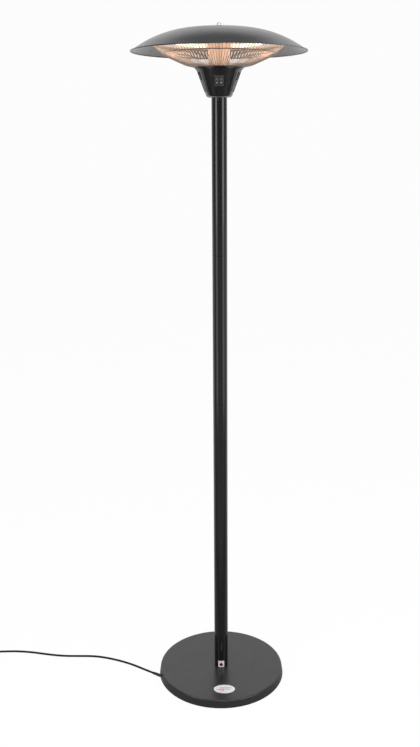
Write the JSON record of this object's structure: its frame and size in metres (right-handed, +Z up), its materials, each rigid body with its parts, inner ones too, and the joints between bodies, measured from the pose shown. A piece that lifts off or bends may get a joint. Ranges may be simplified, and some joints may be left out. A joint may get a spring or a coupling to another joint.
{
  "type": "electric infrared patio heater",
  "caption": "Floor-standing infrared patio heater with a round weighted base, sectioned pole, switch housing with rockers, ring lamps behind a wire guard and a shallow dome.",
  "frame": {"origin": "on the floor, on the pole's axis", "axes": "+Z up along the pole, -Y to the front with the switches and the badge, +X to the right seen from the front"},
  "size_m": [1.2379, 0.512, 2.1083],
  "materials": {
    "dome_coat": "satin dark grey powder coat",
    "base_coat": "satin fine-textured dark grey coat",
    "pole_coat": "glossy black coat",
    "housing_plastic": "glossy black",
    "switch_plastic": "semi-gloss black",
    "foot_rubber": "matte black",
    "ballast_iron": "rough cast",
    "plated_steel": "zinc plated",
    "dark_screw": "blackened",
    "lock_plate_coat": "satin off-white",
    "badge_face": "satin white enamel with plain bars",
    "guard_chrome": "bright plated wire",
    "column_steel": "polished stainless steel",
    "reflector_aluminium": "polished",
    "lamp_quartz": "clear quartz, lit",
    "lamp_filament": "glowing tungsten",
    "lamp_ceramic": "matte ceramic",
    "lead_sleeve": "matte woven sleeve",
    "terminal_plastic": "matte",
    "dark_plastic": "matte black",
    "cord_rubber": "matte black rubber",
    "plug_rubber": "matte black moulded rubber",
    "pin_brass": "nickel-plated brass"
  },
  "bodies": {
    "heater": {"rubber_feet": "foot_rubber", "base_plate": "plated_steel", "base_screws": "plated_steel", "base_weight": "ballast_iron", "pole_socket": "plated_steel", "socket_bolts": "plated_steel", "base_cover": "base_coat", "cable_gland": "cord_rubber", "cord_clamp": "dark_plastic", "cord_clamp_screws": "plated_steel", "supply_cable": "cord_rubber", "badge": "badge_face", "pole_section_1": "pole_coat", "pole_section_2": "pole_coat", "pole_section_3": "pole_coat", "pole_section_4": "pole_coat", "joint_sleeves": "plated_steel", "lock_plate": "lock_plate_coat", "lock_screw": "dark_screw", "head_socket": "plated_steel", "head_screw": "plated_steel", "flange_screws": "plated_steel", "housing": "housing_plastic", "switch_bezel": "switch_plastic", "switch_body_left": "switch_plastic", "switch_body_right": "switch_plastic", "switch_leads": "lead_sleeve", "stem": "plated_steel", "stem_nuts": "plated_steel", "bracket": "plated_steel", "terminal_block": "terminal_plastic", "tip_switch": "dark_plastic", "thermal_cutout": "dark_plastic", "heat_shield": "plated_steel", "shield_screws": "plated_steel", "column": "column_steel", "reflector": "reflector_aluminium", "dome": "dome_coat", "dome_washer": "dark_screw", "cap_nut": "plated_steel", "lamp_left": "lamp_quartz", "lamp_right": "lamp_quartz", "filaments": "lamp_filament", "lamp_holders": "lamp_ceramic", "lamp_straps": "plated_steel", "lamp_clips": "plated_steel", "lamp_leads": "lead_sleeve", "guard_wires": "guard_chrome", "guard_inner_ring": "guard_chrome", "guard_middle_ring": "guard_chrome", "guard_outer_ring": "guard_chrome", "guard_clips": "plated_steel", "mains_cord": "cord_rubber", "cord_coil": "cord_rubber", "coil_tie": "dark_plastic", "plug_body": "plug_rubber", "plug_pins": "pin_brass"},
    "rocker_left": {"rocker_left": "switch_plastic"},
    "rocker_right": {"rocker_right": "switch_plastic"}
  },
  "joints": [
    {"name": "rocker_left_tilt", "type": "hinge", "parent": "heater", "child": "rocker_left", "pos_m": [-0.006, -0.05158, 1.94749], "axis": [1, 0, 0], "range_deg": [0, 16]},
    {"name": "rocker_right_tilt", "type": "hinge", "parent": "heater", "child": "rocker_right", "pos_m": [0.006, -0.05158, 1.94749], "axis": [1, 0, 0], "range_deg": [0, 16]}
  ]
}
